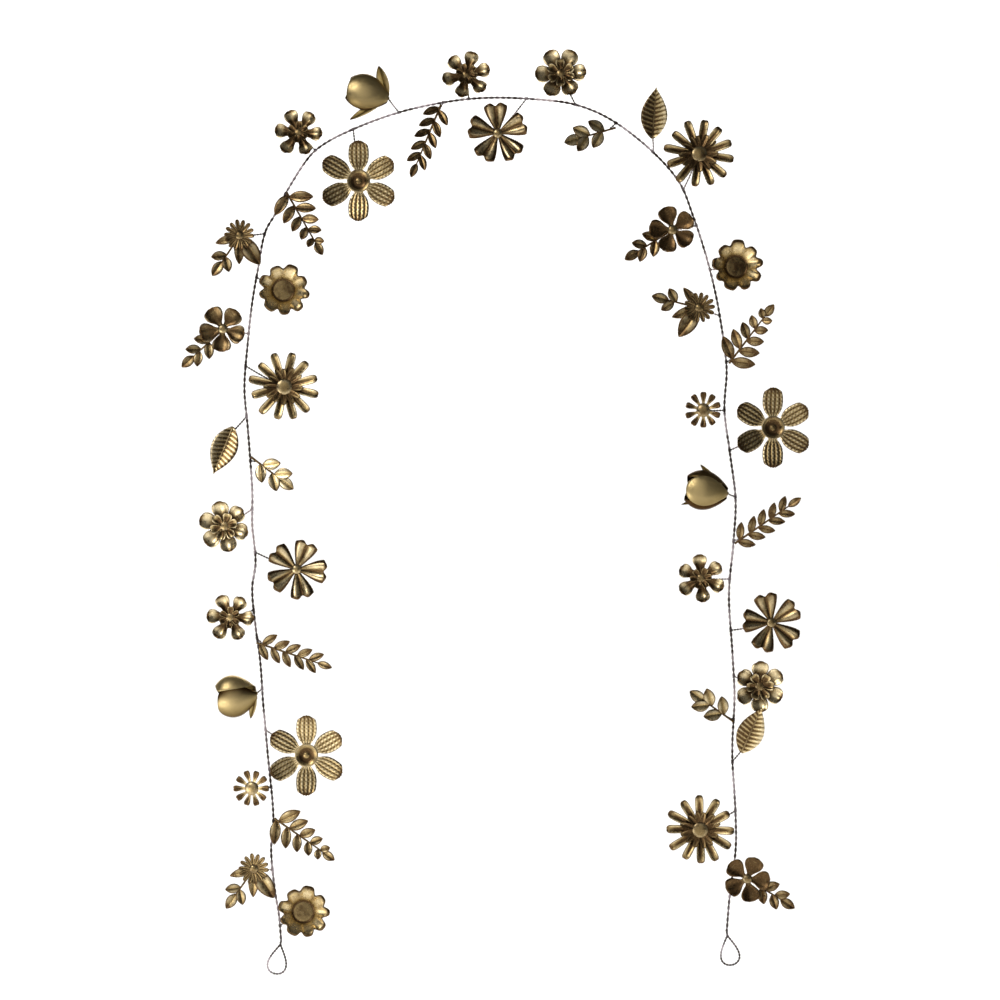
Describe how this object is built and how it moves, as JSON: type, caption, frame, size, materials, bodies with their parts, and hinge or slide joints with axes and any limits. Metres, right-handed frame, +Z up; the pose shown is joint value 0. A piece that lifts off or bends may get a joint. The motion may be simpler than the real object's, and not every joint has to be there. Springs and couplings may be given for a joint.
{
  "type": "metal floral garland",
  "caption": "Garland of stamped brass flowers, leaves and fronds on thin stems along a dark twisted wire, bent to an arch, with a small hanging loop at each end.",
  "frame": {"origin": "centre of the main wire at the top of the arch", "axes": "+Z up along the arch's legs, -Y out of the flowers' faces, +X to the right seen from the front"},
  "size_m": [0.5643, 0.0243, 0.8338],
  "materials": {
    "antique_brass": "antiqued, darker in the folds, worn bright on the edges",
    "satin_brass": "satin",
    "dark_wire": "dark brown oxide, semi-gloss"
  },
  "bodies": {
    "root": {"bowl_flower_1": "antique_brass", "bowl_flower_2": "antique_brass", "bowl_flower_3": "antique_brass", "cupped_flower_1": "antique_brass", "cupped_flower_2": "antique_brass", "cupped_flower_3": "antique_brass", "cupped_flower_4": "antique_brass", "daisy_leaves_1": "antique_brass", "daisy_leaves_2": "antique_brass", "daisy_leaves_3": "antique_brass", "daisy_sprig_1": "antique_brass", "daisy_sprig_2": "antique_brass", "daisy_sprig_3": "antique_brass", "double_flower_1": "antique_brass", "double_flower_2": "antique_brass", "double_flower_3": "antique_brass", "five_petal_flower_1": "antique_brass", "five_petal_flower_2": "antique_brass", "five_petal_flower_3": "antique_brass", "five_petal_sprig_1": "antique_brass", "five_petal_sprig_2": "antique_brass", "five_petal_sprig_3": "antique_brass", "large_daisy_1": "antique_brass", "large_daisy_2": "antique_brass", "large_daisy_3": "antique_brass", "left_end_loop": "dark_wire", "narrow_frond_1": "antique_brass", "narrow_frond_2": "antique_brass", "narrow_frond_3": "antique_brass", "notched_flower_1": "antique_brass", "notched_flower_2": "antique_brass", "notched_flower_3": "antique_brass", "pleated_flower_1": "antique_brass", "pleated_flower_2": "antique_brass", "pleated_flower_3": "antique_brass", "pointed_daisy_1": "antique_brass", "pointed_daisy_2": "antique_brass", "pointed_daisy_3": "antique_brass", "ribbed_leaf_1": "antique_brass", "ribbed_leaf_2": "antique_brass", "ribbed_leaf_3": "antique_brass", "right_end_loop": "dark_wire", "small_daisy_1": "antique_brass", "small_daisy_2": "antique_brass", "small_frond_1": "antique_brass", "small_frond_2": "antique_brass", "small_frond_3": "antique_brass", "tulip_1": "satin_brass", "tulip_2": "satin_brass", "tulip_3": "satin_brass", "twisted_wire_and_stems": "dark_wire", "wide_frond_1": "antique_brass", "wide_frond_2": "antique_brass", "wide_frond_3": "antique_brass"}
  },
  "joints": []
}
